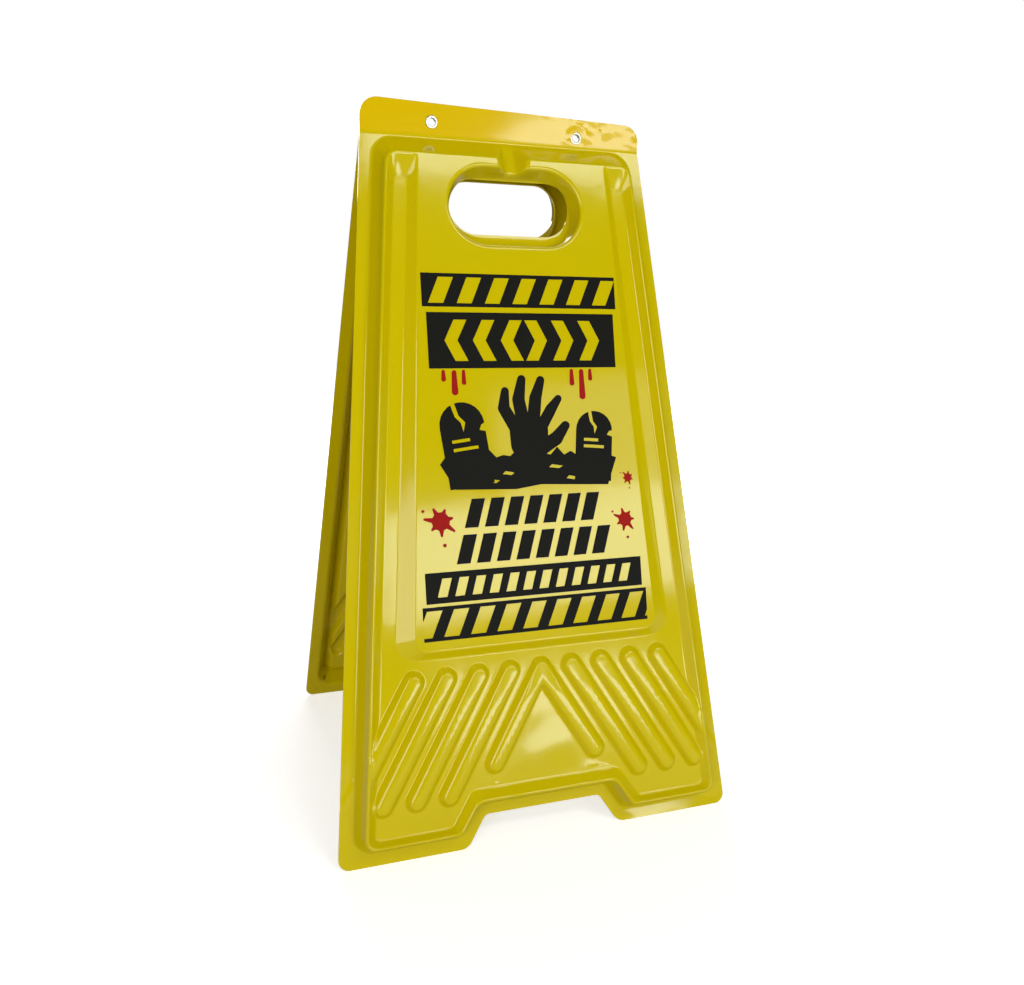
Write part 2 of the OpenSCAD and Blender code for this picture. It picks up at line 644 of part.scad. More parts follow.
// Red drips, whose lengths are shares of the height over the mound, and round splashes
drips = [[-71, 0.11, 2], [-62, 0.25, 2.8], [-54, 0.15, 1.9], [41, 0.17, 2.2], [50, 0.32, 2.8], [58, 0.12, 1.9]];
splashes = [[-80, 12, 7.5], [83, 4, 6], [88, 40, 3.5]];
module print_red() {
    drip_v = upper_box_v + upper_box_h + 0.5;
    color(ink_red) stand_leaf() translate([0, 0, rim_h]) linear_extrude(ink_t) {
        for (d = drips) stroke([d[0], -drip_v - d[2]], [d[0], -drip_v - d[1] * sky_h], d[2] * 0.7, d[2]);
        for (s = splashes)
            translate([s[0], -row_v + s[1]]) {
                circle(r = s[2], $fn = 32);
                for (k = [0:6])
                    rotate(k * 51 + s[2] * 9)
                        stroke([s[2] * 0.8, 0], [s[2] * (1.3 + 0.25 * (k % 3)), 0], s[2] * 0.3, s[2] * 0.13);
                translate([s[2] * 0.3, -s[2] * 2.6]) circle(r = s[2] * 0.2, $fn = 24);
                translate([-s[2] * 1.9, s[2] * 1.2]) circle(r = s[2] * 0.16, $fn = 24);
            }
    }
}

module front_leaf() { color(yellow) trimmed_leaf(); }
module rear_leaf() { color(yellow) rotate([0, 0, 180]) trimmed_leaf(); }
module front_top_band() { color(yellow) top_band(); }
module rear_top_band() { color(yellow) mirror([0, 1, 0]) top_band(); }
module left_rivet() {
    color(nickel) translate([rivet_places[0][0], 0, rivet_places[0][1]]) rivet();
}
module right_rivet() {
    color(nickel) translate([rivet_places[1][0], 0, rivet_places[1][1]]) rivet();
}

front_leaf();
rear_leaf();
front_top_band();
rear_top_band();
left_rivet();
right_rivet();
print_black();
print_red();
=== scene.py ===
# %% [markdown]
# # A folding floor sign of vacuum-formed sheet
# The real sign is two yellow leaves from one mould, set back to back. Each leaf and the
# flat band above it are one sheet of plastic, 1.5 mm thick, which was heated and sucked
# over a mould. That gives everything on it the same three marks: even walls with draft,
# small round edges, and a gloss that shows each wave and bend of the sheet. The CAD model
# holds the sizes, so this script starts by loading it as a fixed frame.

# %% Load the frame
import math

import bpy
import numpy as np
from mathutils import Matrix, Vector
from mathutils.geometry import delaunay_2d_cdt


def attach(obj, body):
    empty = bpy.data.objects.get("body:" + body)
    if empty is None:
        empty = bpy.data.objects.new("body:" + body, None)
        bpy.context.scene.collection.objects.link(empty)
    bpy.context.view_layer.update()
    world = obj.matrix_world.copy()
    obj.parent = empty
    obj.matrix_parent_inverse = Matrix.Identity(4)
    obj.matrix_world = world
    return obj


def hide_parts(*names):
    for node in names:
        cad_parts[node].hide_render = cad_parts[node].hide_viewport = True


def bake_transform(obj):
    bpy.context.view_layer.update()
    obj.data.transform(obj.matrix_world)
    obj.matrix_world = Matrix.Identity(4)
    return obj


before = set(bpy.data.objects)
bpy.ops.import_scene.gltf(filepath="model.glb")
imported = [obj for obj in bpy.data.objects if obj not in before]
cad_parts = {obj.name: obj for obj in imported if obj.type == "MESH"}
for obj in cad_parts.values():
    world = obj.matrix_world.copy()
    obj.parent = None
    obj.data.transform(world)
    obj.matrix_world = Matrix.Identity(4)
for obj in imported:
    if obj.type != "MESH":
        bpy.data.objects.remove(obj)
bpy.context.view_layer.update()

# %% [markdown]
# ## Two small helpers
# Colours are written as the hex values that a paint program shows, and one function turns
# them into the linear values that Blender's shaders work with. A second function adds a
# node to any tree with its settings and its links, so that a material reads as a list.

# %% Colour and node helpers
def linear(hex_colour):
    parts = [int(hex_colour[i : i + 2], 16) / 255 for i in (1, 3, 5)]
    return [c / 12.92 if c <= 0.04045 else ((c + 0.055) / 1.055) ** 2.4 for c in parts] + [1.0]


def add_node(tree, kind, settings=None, **inputs):
    node = tree.nodes.new(kind)
    for name, value in (settings or {}).items():
        setattr(node, name, value)
    for name, value in inputs.items():
        key = int(name[1:]) if name[0] == "_" and name[1:].isdigit() else name.replace("_", " ")
        socket = node.inputs[key]
        if isinstance(value, bpy.types.NodeSocket):
            tree.links.new(value, socket)
        else:
            socket.default_value = value
    return node


def new_material(name):
    material = bpy.data.materials.new(name)
    material.use_nodes = True
    material.node_tree.nodes.clear()
    return material, material.node_tree


print("sRGB #808080 in linear:", round(linear("#808080")[0], 3))

# %% [markdown]
# ## The camera
# The sign in the photograph is seen from close by, from the left and a little above its
# middle, so its sides spread downwards less than they would from further off. The place,
# turn and lens below were worked out from the sign's outline and both creases.

# %% Place the camera
camera_at = Vector((-0.2316, -0.7434, 0.4559))
photo_width_px, focal_px, sensor_mm = 1024, 842.6, 36
yaw, pitch, roll = (math.radians(a) for a in (18.29, 13.82, 1.37))
ahead = Vector((math.sin(yaw) * math.cos(pitch), math.cos(yaw) * math.cos(pitch), -math.sin(pitch)))
level = Vector((math.cos(yaw), -math.sin(yaw), 0))
upward = level.cross(ahead)
across = level * math.cos(roll) + upward * math.sin(roll)
upright = upward * math.cos(roll) - level * math.sin(roll)

camera_data = bpy.data.cameras.new("camera")
camera_data.lens = focal_px * sensor_mm / photo_width_px
camera = bpy.data.objects.new("camera", camera_data)
camera.matrix_world = Matrix((across, upright, -ahead)).transposed().to_4x4()
camera.location = camera_at
bpy.context.scene.collection.objects.link(camera)
bpy.context.scene.camera = camera
print("lens:", round(camera_data.lens, 2), "mm")

# %% [markdown]
# ## The sizes of a leaf
# A point of a leaf is given as u across, y up from the crease (so the feet are at -595)
# and w out from the flat flange. All of it is in millimetres until the very end. These
# are the same sizes as the solid model has, so the dressed sheet lies where the solid is.
# Only the small round edges, in the last two lines, are this script's own.

# %% Sizes of the sheet, in millimetres
stand_h, lean, sheet_t = 603.0, math.radians(15), 1.5
band_left_h, band_right_h, band_r = 28.0, 21.5, 15.0
crease_z = stand_h - band_left_h
leaf_l = (crease_z + sheet_t / 2 * math.sin(lean)) / math.cos(lean)
foot_w, crease_w = 350.0, 250.0
notch_h, notch_top_w, notch_foot_w = 26.0, 103.0, 136.0
rim_h, recess_d = 19.0, 6.5
flange_w, notch_flange_w, crease_flange_w = 11.0, 9.0, 2.5
wall_run, top_wall_run, rim_land = 8.0, 19.0, 1.5
recess_side_run, recess_foot_run, recess_notch_run = 6.5, 3.5, 7.5
channel_top, channel_ramp, channel_top_w, channel_foot_w = 23.0, 17.0, 24.4, 33.2
channel_round, channel_panel_round = 0.36, 0.12
rib_foot_gap, rib_l, chevron_l, panel_gap, panel_drop = 41.4, 113.5, 92.5, 14.0, 6.5
rib_bottom = leaf_l - rib_foot_gap
rib_top = rib_bottom - rib_l
chevron_bottom = rib_top + chevron_l
panel_bottom = rib_top - panel_gap
panel_run_top, panel_run_foot = 7.0, 14.5
rib_pitch, rib_slope, rib_w, rib_crown_w, rib_h = 27.2, math.radians(31), 18.6, 10.6, 5.5
well_l, well_h, well_v, well_run = 116.8, 66.0, 62.5, 3.5
hole_l, hole_h, hole_ledge = 107.0, 46.8, 1.2
groove_w, groove_flare, groove_rise = 9.0, 0.7, 10.0
rivet_pitch, rivet_left_up, rivet_right_up, rivet_bore_d, rivet_wall = 130.0, 11.7, 8.0, 6.4, 0.5
tub_foot_r, tub_crown_r, recess_foot_r, recess_crown_r = 2.6, 2.8, 2.4, 2.6
rib_foot_r, rib_edge_r, well_foot_r, well_crown_r = 1.8, 2.2, 3.0, 3.2
print("leaf from crease to floor:", round(leaf_l, 2), "mm")

# %% [markdown]
# ## Outlines with round corners
# Every step on a formed sheet is a pair of outlines in plan: where its wall starts and
# where it ends. They are drawn as sharp polygons first, because those are easy to move
# inwards by a given gap, and each corner is then rounded to its own radius.

# %% Outline helpers
def unit(a):
    return a / np.linalg.norm(a)


def cross2(a, b):
    return a[0] * b[1] - a[1] * b[0]


def inset(path, gaps):
    """Every edge of a clockwise outline, moved inwards by its own gap."""
    path = np.asarray(path, float)
    n = len(path)
    gaps = np.broadcast_to(gaps, n)
    out = []
    for i in range(n):
        a, b, c = path[i - 1], path[i], path[(i + 1) % n]
        d, e = unit(b - a), unit(c - b)
        p = b + gaps[i - 1] * np.array([d[1], -d[0]])
        q = b + gaps[i] * np.array([e[1], -e[0]])
        out.append(p + d * cross2(q - p, e) / cross2(d, e))
    return np.array(out)


def rounded(path, radii, spacing, steps=10):
    """The outline with round corners, and with points along its straight edges."""
    path = np.asarray(path, float)
    n = len(path)
    out = []
    for i in range(n):
        b = path[i]
        to_a, to_c = unit(path[i - 1] - b), unit(path[(i + 1) % n] - b)
        half = math.acos(np.clip(to_a @ to_c, -1, 1)) / 2
        r = radii[i]
        middle = b + unit(to_a + to_c) * r / math.sin(half)
        first = b + to_a * r / math.tan(half) - middle
        last = b + to_c * r / math.tan(half) - middle
        start = math.atan2(first[1], first[0])
        turn = math.atan2(cross2(first, last), first @ last)
        angles = [start + turn * k / steps for k in range(steps + 1)]
        out += [middle + r * np.array([math.cos(a), math.sin(a)]) for a in angles]
    return along(np.array(out), spacing)


def along(ring, spacing):
    out = []
    for a, b in zip(ring, np.roll(ring, -1, axis=0)):
        pieces = max(1, round(np.linalg.norm(b - a) / spacing))
        out += [a + (b - a) * k / pieces for k in range(pieces)]
    return np.array(out)


def slot_ring(p, q, r, steps=14, spacing=12.0):
    """A slot with round ends between two points, clockwise."""
    p, q = np.asarray(p, float), np.asarray(q, float)
    turn = math.atan2(q[1] - p[1], q[0] - p[0]) + math.pi / 2
    arc = lambda at, a: at + r * np.array([math.cos(a), math.sin(a)])
    ends = [arc(q, turn - math.pi * k / steps) for k in range(steps + 1)]
    ends += [arc(p, turn - math.pi - math.pi * k / steps) for k in range(steps + 1)]
    return along(np.array(ends), spacing)


print("a slot of 20 by 10 mm has", len(slot_ring((-5, 0), (5, 0), 5)), "points")

# %% [markdown]
# ## The outlines of this leaf
# The trimmed edge comes first, then the tub that stands up from the flange, then the
# recess, which runs down both sides of the print panel and opens out above the feet.
# Each is held as a sharp path with radii and with the sign of each corner, +1 where the
# outline is convex, so that a parallel outline can grow or shrink its corners correctly.

# %% Paths of the leaf
def half_width(v):
    return (crease_w + (foot_w - crease_w) * v / leaf_l) / 2


def panel_share(v):
    return (v - channel_top) / (panel_bottom - channel_top)


class Path:
    def __init__(self, points, radii, turns):
        self.points = np.asarray(points, float)
        self.radii, self.turns = np.asarray(radii, float), np.asarray(turns)

    def ring(self, gap=0.0, spacing=12.0):
        radii = np.maximum(self.radii - self.turns * gap, 0.8)
        return rounded(inset(self.points, gap) if gap else self.points, radii, spacing)


cw, fw, nf, nt = crease_w / 2, foot_w / 2, notch_foot_w / 2, notch_top_w / 2
right_foot = [(fw, -leaf_l), (nf, -leaf_l), (nt, notch_h - leaf_l)]
feet = right_foot + [(-x, y) for x, y in reversed(right_foot)]
leaf_outline = [(cw, 0)] + feet + [(-cw, 0)]
leaf_turns = [1, 1, 1, -1, -1, 1, 1, 1]
trim = Path([(cw, band_right_h), (cw, 0)] + feet + [(-cw, 0), (-cw, band_left_h)],
            [band_r, 3, 9, 11, 7, 7, 11, 9, 3, band_r], [1, 1, 1, 1, -1, -1, 1, 1, 1, 1])

foot_gaps = np.array([flange_w, flange_w, notch_flange_w, notch_flange_w, notch_flange_w, flange_w, flange_w,
                      crease_flange_w])
wall_runs = np.array([wall_run] * 7 + [top_wall_run])
wall_radii = np.array([18, 16, 14, 4, 4, 14, 16, 18.0])
tub_foot = Path(inset(leaf_outline, foot_gaps), wall_radii, leaf_turns)
tub_rim = Path(inset(leaf_outline, foot_gaps + wall_runs),
               np.maximum(wall_radii - np.array(leaf_turns) * wall_run, 1.5), leaf_turns)


rim_gap, notch_rim_gap = flange_w + wall_run + rim_land, notch_flange_w + wall_run + rim_land
side_lean = math.atan2((foot_w - crease_w) / 2, leaf_l)


def recess_path(side_gap, foot_gap, notch_gap, top, panel_in, bottom, shrink):
    edge = inset(leaf_outline, [side_gap, foot_gap, notch_gap, notch_gap, notch_gap, foot_gap, side_gap, 0])
    outer = half_width(top) - side_gap / math.cos(side_lean)

    def panel_edge(v):
        channel_w = channel_top_w + (channel_foot_w - channel_top_w) * panel_share(v)
        run = panel_run_top + (panel_run_foot - panel_run_top) * panel_share(v)
        return half_width(v) - rim_gap / math.cos(side_lean) - channel_w + panel_in * run

    a, b = panel_edge(top), panel_edge(bottom)
    points = [(-outer, -top), (-a, -top), (-b, -bottom), (b, -bottom), (a, -top), (outer, -top)]
    end, near = (share * (outer - a) + shrink for share in (channel_round, channel_panel_round))
    turns = np.array([1, 1, -1, -1, 1, 1, 1, 1, -1, -1, 1, 1])
    radii = np.array([end, near, 12, 12, near, end, 8, 9, 8, 8, 9, 8]) - turns * shrink
    return Path(points + [tuple(edge[i]) for i in range(1, 7)], radii, turns)


recess_rim = recess_path(rim_gap, rim_gap, notch_rim_gap, channel_top, 0, panel_bottom, 0)
recess_floor = recess_path(rim_gap + recess_side_run, rim_gap + recess_foot_run, notch_rim_gap + recess_notch_run,
                           channel_top + channel_ramp, 1, panel_bottom + panel_drop, 4)
print("the tub's rim is", round(float(np.ptp(tub_rim.points[:, 1])), 1), "mm long")

# %% [markdown]
# ## The ribs, the grip well and the groove
# Under the panel four ribs slant outwards on each side of a chevron, all with the same
# round ends. They stiffen the foot of the leaf. A rib is a slot in plan, and the chevron
# is two slots that share their upper end, so both can use one function.

# %% Slots of the leaf
rib_r, crown_r = rib_w / 2, rib_crown_w / 2
rib_slots = []
for side in (-1, 1):
    for i in range(1, 5):
        reach = rib_bottom - rib_top - rib_w
        top_end = (side * i * rib_pitch, -(rib_top + rib_r))
        low_end = (side * (i * rib_pitch + reach * math.tan(rib_slope)), top_end[1] - reach)
        rib_slots.append((top_end, low_end))
    reach = chevron_bottom - rib_top - rib_w
    apex = (0, -(rib_top + rib_r))
    rib_slots.append((apex, (side * reach * math.tan(rib_slope), apex[1] - reach)))

well_reach, hole_reach = (well_l - well_h) / 2, (hole_l - hole_h) / 2
hole_v = well_v - well_h / 2 + well_run + hole_ledge + hole_h / 2
groove_len = well_v - well_h / 2 + well_run
rivet_holes = [(-rivet_pitch / 2, rivet_left_up), (rivet_pitch / 2, rivet_right_up)]
rivet_hole_r = rivet_bore_d / 2 + rivet_wall + 0.05
print(len(rib_slots), "rib slots, and the hole is centred", round(hole_v, 1), "mm below the crease")

# %% [markdown]
# ## From outlines to a height at every point
# The forming is described by one height, w, over the flat blank. A wall between two
# outlines needs the distance to each of them. Their difference is the wall's run at that
# place, and a wall profile with a small arc at its foot and one at its crown turns the
# distance into a height. The arcs are what catches the light along every edge.

# %% Distances and the wall profile
def inside_distance(points, ring):
    """The distance of each point from a closed outline, positive inside it."""
    a, b = ring, np.roll(ring, -1, axis=0)
    nearest = np.full(len(points), 1e18)
    inside = np.zeros(len(points), bool)
    for p, q in zip(a, b):
        d = q - p
        length = d @ d
        if length < 1e-12:
            continue
        off = points - p
        t = np.clip(off @ d / length, 0, 1)
        gap = off - t[:, None] * d
        nearest = np.minimum(nearest, (gap * gap).sum(1))
        if p[1] != q[1]:
            spans = (p[1] > points[:, 1]) != (q[1] > points[:, 1])
            inside ^= spans & (points[:, 0] < p[0] + (points[:, 1] - p[1]) * d[0] / d[1])
    return np.sqrt(nearest) * np.where(inside, 1, -1)


def wall(inward, run, rise, foot_r, crown_r):
    """Height across a wall that starts at inward = 0 and climbs to rise over its run."""
    run = np.maximum(run, 0.5)
    slope = np.arctan2(rise, run)
    foot_t, crown_t = foot_r * np.tan(slope / 2), crown_r * np.tan(slope / 2)
    height = rise * inward / run
    at_foot = inward < foot_t * np.cos(slope)
    bowl = foot_r - np.sqrt(np.maximum(foot_r**2 - (inward + foot_t) ** 2, 0))
    height = np.where(at_foot, np.where(inward < -foot_t, 0, bowl), height)
    past = inward - run
    at_crown = past > -crown_t * np.cos(slope)
    dome = rise - crown_r + np.sqrt(np.maximum(crown_r**2 - (past - crown_t) ** 2, 0))
    return np.where(at_crown, np.where(past > crown_t, rise, dome), height)


def soft_min(a, b, k):
    k = np.maximum(k, 1e-6)
    share = np.clip(0.5 + 0.5 * (b - a) / k, 0, 1)
    return b + (a - b) * share - k * share * (1 - share)


# %% The height of the formed sheet
def between(points, outer, inner, rise, foot_r, crown_r):
    a, b = inside_distance(points, outer), inside_distance(points, inner)
    return wall(a, a - b, rise, foot_r, crown_r)


tub_rings = tub_foot.ring(spacing=1e9), tub_rim.ring(spacing=1e9)
recess_rings = recess_rim.ring(spacing=1e9), recess_floor.ring(spacing=1e9)
well_rings = [slot_ring((-well_reach, -well_v), (well_reach, -well_v), r, 24, 1e9)
              for r in (well_h / 2, well_h / 2 - well_run)]


def slot_distance(points, p, q, r):
    p, q = np.asarray(p), np.asarray(q)
    d = q - p
    t = np.clip((points - p) @ d / (d @ d), 0, 1)
    return r - np.linalg.norm(points - p - t[:, None] * d, axis=1)


# %% [markdown]
# ## Slack in the sheet
# A thin sheet never lies quite as the mould has it. The real one shows that by its glare:
# its band bends forwards on the right and curls round the rivet there, the field inside
# the chevron and beside the notch is wavy, and the right foot's flange turns up a little.
# These strays are under 1.5 mm, and they are added to the height of the forming, with a
# low dome and bow on the ribs. The waves are eased in and out, because an edge would show.

# %% Wrinkles and bends
def ripple(u, v, length, seed):
    """Smooth wrinkles of about this length, between -1 and 1."""
    turns = [(1.0, 0.35), (-0.55, 0.9), (0.4, 1.15), (0.9, -0.75)]
    waves = [np.sin(2 * math.pi * (a * u + b * v) / length + seed * (k + 1)) for k, (a, b) in enumerate(turns)]
    return sum(waves) / len(waves)


def ease(x, low, high):
    t = np.clip((x - low) / (high - low), 0, 1)
    return t * t * (3 - 2 * t)


band_lean, band_curl, rivet_dent, rivet_dent_r = 0.055, 0.42, 0.2, 10.5
chevron_wave, notch_wave, foot_lean, foot_wave = 0.42, 0.4, 0.085, 0.015


def slack(points):
    """How far the thin sheet strays from the mould's form, in millimetres."""
    u, v = points[:, 0], -points[:, 1]
    above = np.maximum(-v - 1, 0)
    out = above * band_lean * ease(u, -60, 60)
    out += band_curl * ease(u, 25, 60) * ease(above, 0, 5) * ripple(u, v, 19, 1.3)
    from_rivet = np.hypot(u - rivet_pitch / 2, v + rivet_right_up)
    out -= rivet_dent * np.exp(-(((from_rivet - rivet_dent_r) / 1.9) ** 2)) * ease(above, 0, 3)
    inside = ease(v, rib_top + 22, rib_top + 34) * (1 - ease(v, leaf_l - 46, leaf_l - 36))
    inside *= 1 - ease(np.abs(u) - (v - rib_top) * math.tan(rib_slope), -14, -6)
    out += chevron_wave * inside * ripple(u, v, 46, 0.4)
    beside = np.exp(-((np.abs(u) - nt + 6) / 16) ** 2) * ease(v, leaf_l - 62, leaf_l - 50)
    out += notch_wave * beside * (1 - ease(v, leaf_l - 44, leaf_l - 34)) * ripple(u, v, 20, 3.1)
    low = np.maximum(v - leaf_l + 10, 0) * ease(u, nf, nf + 12)
    return out + low * (foot_lean + foot_wave * ripple(u, v, 40, 2.2))


print("slack at the band's right end:", round(float(slack(np.array([(100.0, 20.0)]))[0]), 2), "mm")

# %% The whole forming
rib_dome, rib_bow = 0.12, 0.5
groove_edge, groove_end, out_of_reach = 2.0, 3.5, 60.0


def formed_height(points):
    """The height of the outer face: the tub, less the recess round the ribs and the well."""
    tub = between(points, *tub_rings, rim_h, tub_foot_r, tub_crown_r)
    recess = between(points, *recess_rings, recess_d, recess_foot_r, recess_crown_r)
    ribs = np.zeros(len(points))
    for p, q in rib_slots:
        inward = slot_distance(points, p, q, rib_r)
        reach = np.clip(inward - rib_r + crown_r, 0, crown_r) / crown_r
        share = np.clip((p[1] - points[:, 1]) / (p[1] - q[1]), 0, 1)
        crown = rib_dome * reach * (2 - reach) + rib_bow * ease(share, 0, 0.35) * ease(reach, 0, 0.5)
        side_wall = wall(inward, rib_r - crown_r, rib_h, rib_foot_r, rib_edge_r)
        ribs = np.maximum(ribs, side_wall + np.where(reach > 0, crown, 0))
    depth = soft_min(recess, recess_d - ribs, rib_edge_r * np.clip(ribs / 1.5, 0, 1))
    well = between(points, *well_rings, rim_h, well_foot_r, well_crown_r)
    height = tub - depth - np.minimum(well, tub)
    u, v = points[:, 0], -points[:, 1]
    side = (np.abs(u) - groove_w / 2) / groove_flare
    trough = v * groove_rise / groove_len - soft_min(-side, np.zeros(len(u)), groove_edge)
    trough = np.where(v > groove_len + 4, out_of_reach, trough)
    below = soft_min(height, trough, groove_end * np.clip(height / 3, 0, 1))
    return np.where(v > 0, below, 0) + slack(points)


probe = np.array([(0, -200.0), (0, -300.0), (150, -300.0), (0, -560.0), (0, -55.0)])
print("height of the panel, flange and hole:", formed_height(probe).round(2))

# %% [markdown]
# ## A mesh that follows the outlines
# A regular grid fine enough for the small arcs would need a million faces. Instead, every
# outline is laid down as a family of close parallel rings, only where the sheet bends, and
# a constrained Delaunay triangulation fills the flat parts between them with few, large
# triangles. The rings become edges of the mesh, so each arc is smooth and each flat flat.

# %% Lay the rings and triangulate the blank
def circle_ring(at, r):
    angles = np.linspace(0, -2 * math.pi, 49)[:-1]
    return np.array([(at[0] + r * math.cos(a), at[1] + r * math.sin(a)) for a in angles])


def hand_hole():
    return slot_ring((-hole_reach, -hole_v), (hole_reach, -hole_v), hole_h / 2, 28, 8)


def blank_rings():
    rings = [trim.ring(), hand_hole()]
    rings += [circle_ring(at, r) for at in rivet_holes for r in (rivet_hole_r, 6, 8, 9.5, 11, 13)]
    rings += [trim.ring(2.0)]
    for offset in (-2.4, -1.5, -0.9, -0.4, 0.1, 0.6, 1.2):
        rings += [tub_foot.ring(offset), tub_rim.ring(-offset)]
        rings += [recess_rim.ring(offset), recess_floor.ring(-offset)]
    well_edge = [well_h / 2 + offset for offset in (3.2, 2.4, 1.6, 0.9, 0.4, 0.0, -0.4)]
    well_edge += [well_h / 2 - well_run + offset for offset in (0.3, 0.0, -0.4, -0.9)]
    rings += [slot_ring((-well_reach, -well_v), (well_reach, -well_v), r, 28, 8) for r in well_edge]
    for p, q in rib_slots:
        rings += [slot_ring(p, q, rib_r + offset, 12, 10) for offset in (1.1, 0.7, 0.3, -0.1, -0.5)]
        rings += [slot_ring(p, q, crown_r + offset, 12, 8) for offset in (0.6, 0.1, -0.4, -0.9, -1.4, -3.4)]
    return rings


def level_line(half, count, y):
    return np.array([(x, y) for x in np.linspace(-half, half, count)])


def blank_lines():
    """Lines across the crease, the wavy band and the field of the ribs, and along the groove."""
    lines = [level_line(cw + 1, 43, y) for y in (1.6, 0.9, 0.3, -0.3, -0.9, -1.6)]
    lines += [level_line(cw - 3, 43, y) for y in (6, 12, 18, 24)]
    lines += [level_line(cw - 2, 92, y) for y in np.arange(3.2, 27, 2.2)]
    lines += [level_line(fw - 4, 90, -v) for v in np.arange(rib_top - 8, leaf_l - 1, 3.6)]
    for x in (1.5, 3.5, 4.5, 5.5, 6.5, 8, 10, 12, 13, 14, 15, 16, 17.5, 19):
        lines += [np.array([(s * x, -y) for y in np.linspace(2.2, groove_len + 1, 14)]) for s in (-1, 1)]
    return lines


def triangulate():
    points, edges = [], []
    for ring in blank_rings():
        start = len(points)
        points += [Vector(p) for p in ring]
        edges += [(start + i, start + (i + 1) % len(ring)) for i in range(len(ring))]
    for line in blank_lines():
        start = len(points)
        points += [Vector(p) for p in line]
        edges += [(start + i, start + i + 1) for i in range(len(line) - 1)]
    made = delaunay_2d_cdt(points, edges, [], 0, 0.02)
    flat = np.array([tuple(p) for p in made[0]])
    tris = np.array([tuple(f) for f in made[2] if len(f) == 3])
    centres = flat[tris].mean(1)
    keep = inside_distance(centres, trim.ring()) > 0
    keep &= inside_distance(centres, hand_hole()) < 0
    for at in rivet_holes:
        keep &= inside_distance(centres, circle_ring(at, rivet_hole_r)) < 0
    tris = tris[keep]
    used = np.unique(tris)
    place = np.full(len(flat), -1)
    place[used] = np.arange(len(used))
    return flat[used], place[tris]


blank, triangles = triangulate()
print("blank:", len(blank), "points and", len(triangles), "triangles")

# %% [markdown]
# ## Fold the blank into a standing leaf
# The flat heights are now given their thickness, along the true slope of the surface so
# that a steep wall is as thick as a flat one, and the blank is bent at the crease by 15
# degrees, on a short arc. The flat band above the crease stays upright, where the rivets
# hold it, and the trimmed feet end on the floor.

# %% Fold and thicken
bend = 1.6  # the arc reaches this far on each side of the crease


def leaf_surface(points):
    """Points and directions of the outer face over the blank."""
    height = formed_height(points)
    step = 0.05
    rise_u = formed_height(points + (step, 0)) - formed_height(points - (step, 0))
    rise_y = formed_height(points + (0, step)) - formed_height(points - (0, step))
    normal = np.stack([-rise_u / (2 * step), -rise_y / (2 * step), np.ones(len(points))], 1)
    return np.column_stack([points, height]), normal / np.linalg.norm(normal, axis=1)[:, None]


def fold(local):
    """From u, y, w on the blank to x, y, z on the standing sign, in metres."""
    u, s, w = local[:, 0], -local[:, 1], local[:, 2]
    share = np.clip((s + bend) / (2 * bend), 0, 1)
    angle = lean * share
    mid_y = np.where(s > bend, -s * math.sin(lean), -bend * math.sin(lean) * share**2)
    mid_z = np.where(s > bend, -s * math.cos(lean), np.where(s < -bend, -s,
                     bend * (1 - share) ** 2 - bend * math.cos(lean) * share**2))
    out = w + sheet_t / 2
    y = -sheet_t / 2 + mid_y - out * np.cos(angle)
    z = crease_z + mid_z + out * np.sin(angle)
    return np.column_stack([u, y, np.maximum(z, 0)]) / 1000


def leaf_mesh(name, mirrored):
    outer, normal = leaf_surface(blank)
    inner = outer - sheet_t * normal
    places = np.vstack([fold(outer), fold(inner)])
    n = len(blank)
    faces = [tuple(t) for t in triangles] + [(c + n, b + n, a + n) for a, b, c in triangles]
    edges = dict.fromkeys(e for a, b, c in triangles for e in ((a, b), (b, c), (c, a)))
    rim = [e for e in edges if (e[1], e[0]) not in edges]
    faces += [(b, a, a + n, b + n) for a, b in rim]
    if mirrored:
        places[:, 1] *= -1
        faces = [face[::-1] for face in faces]
    mesh = bpy.data.meshes.new(name)
    mesh.from_pydata([tuple(p) for p in places], [], [tuple(int(i) for i in f) for f in faces])
    mesh.update()
    mesh.shade_smooth()
    cut = {(min(a, b), max(a, b)) for a, b in rim} | {(min(a, b) + n, max(a, b) + n) for a, b in rim}
    sharp = mesh.attributes.new("sharp_edge", "BOOLEAN", "EDGE")
    sharp.data.foreach_set("value", [tuple(sorted(e.vertices)) in cut for e in mesh.edges])
    piece = bpy.data.objects.new(name, mesh)
    bpy.context.scene.collection.objects.link(piece)
    return piece


front_sheet = leaf_mesh("front_sheet", False)
rear_sheet = leaf_mesh("rear_sheet", True)
print("front sheet:", len(front_sheet.data.polygons), "faces")
